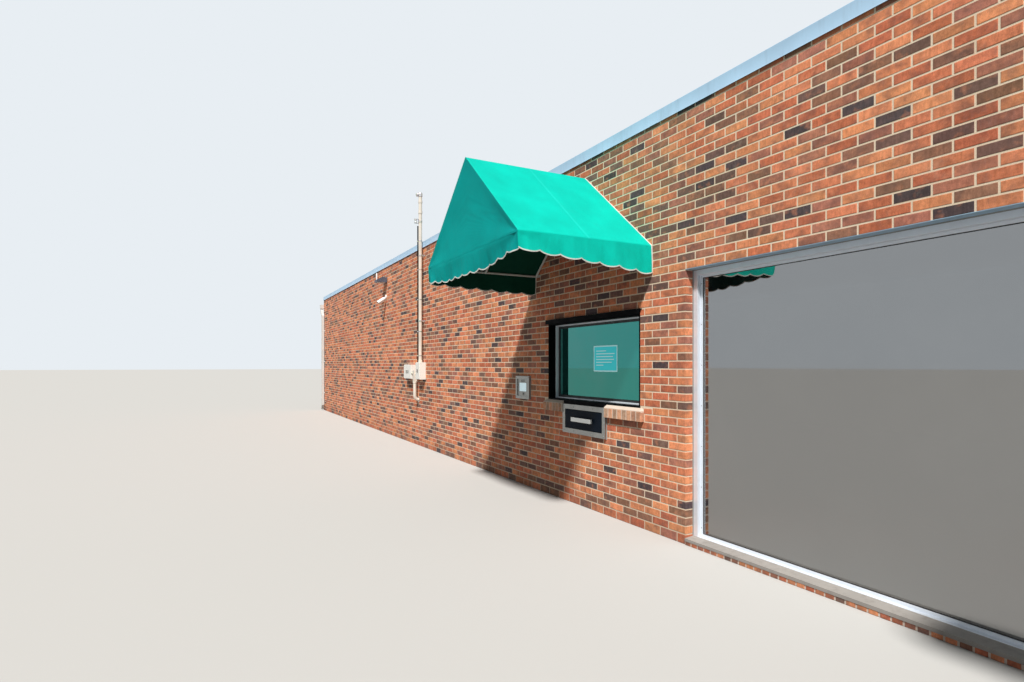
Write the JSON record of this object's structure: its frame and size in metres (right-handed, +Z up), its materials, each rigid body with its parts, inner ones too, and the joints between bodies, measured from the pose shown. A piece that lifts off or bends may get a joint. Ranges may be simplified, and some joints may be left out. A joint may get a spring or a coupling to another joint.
{
  "type": "corner shop building",
  "caption": "Single-storey brick corner shop with plate-glass windows, a drive-up teller window, a sliding deal drawer and two gable awnings.",
  "frame": {"origin": "centre of the footprint at ground level", "axes": "+Z up, -Y out of the drive side wall with the teller window, +X out of the street wall"},
  "size_m": [22.091, 10.595, 4.5422],
  "materials": {
    "brick": "mixed red, brown and charcoal face brick with pale mortar",
    "concrete": "trowelled concrete",
    "roofing": "weathered roof membrane",
    "timber": "dark weathered timber",
    "coping": "pale blue-grey enamel",
    "rainware": "white enamel",
    "window_metal": "satin mill finish",
    "glass": "clear plate glass",
    "teller_glass": "green tinted security glass",
    "black_paint": "black enamel",
    "steel_trim": "brushed stainless",
    "drawer_black": "black enamel",
    "awning_cloth": "woven acrylic cloth, green",
    "awning_tube": "galvanised and painted tube",
    "galvanised": "galvanised steel",
    "box_paint": "pale grey enamel",
    "light_paint": "dark bronze enamel",
    "white_plastic": "white moulding",
    "door_paint": "grey enamel"
  },
  "bodies": {
    "building": {"floor_slab": "concrete", "drive_side_wall": "brick", "street_wall": "brick", "lot_side_wall": "brick", "rear_wall": "brick", "roof_deck": "roofing", "roof_edge_blocking": "timber", "drive_side_coping": "coping", "street_coping": "coping", "lot_side_coping": "coping", "rear_gutter": "rainware", "downspout": "rainware", "plate_window_sills": "brick", "drive_window_frame": "window_metal", "drive_window_glass": "glass", "street_window_frames": "window_metal", "street_window_glass": "glass", "lot_window_frame": "window_metal", "lot_window_glass": "glass", "teller_reveal_lining": "black_paint", "teller_lintel": "black_paint", "teller_window_frame": "window_metal", "teller_window_glass": "teller_glass", "teller_window_sill": "brick", "drawer_trim": "steel_trim", "drawer_housing": "steel_trim", "drawer_runners": "galvanised", "speaker_plate": "steel_trim", "teller_awning_cover": "awning_cloth", "teller_awning_frame": "awning_tube", "entrance_awning_cover": "awning_cloth", "entrance_awning_frame": "awning_tube", "entrance_step": "concrete", "entrance_frame": "window_metal", "entrance_door": "window_metal", "entrance_glass": "glass", "entrance_pull": "steel_trim", "service_mast": "galvanised", "mast_weatherhead": "galvanised", "mast_straps": "galvanised", "mast_slim_conduit": "black_paint", "meter_box": "box_paint", "junction_box": "box_paint", "conduit_elbow": "galvanised", "wall_light": "light_paint", "security_camera": "white_plastic", "rear_door_step": "concrete", "rear_door_frame": "door_paint", "rear_door": "door_paint", "rear_door_handle": "steel_trim"},
    "deal_drawer": {"deal_drawer": "drawer_black", "drawer_pull": "steel_trim"}
  },
  "joints": [
    {"name": "drawer_slide", "type": "slide", "parent": "building", "child": "deal_drawer", "axis": [0, -1, 0], "range_m": [0, 0.3]}
  ]
}
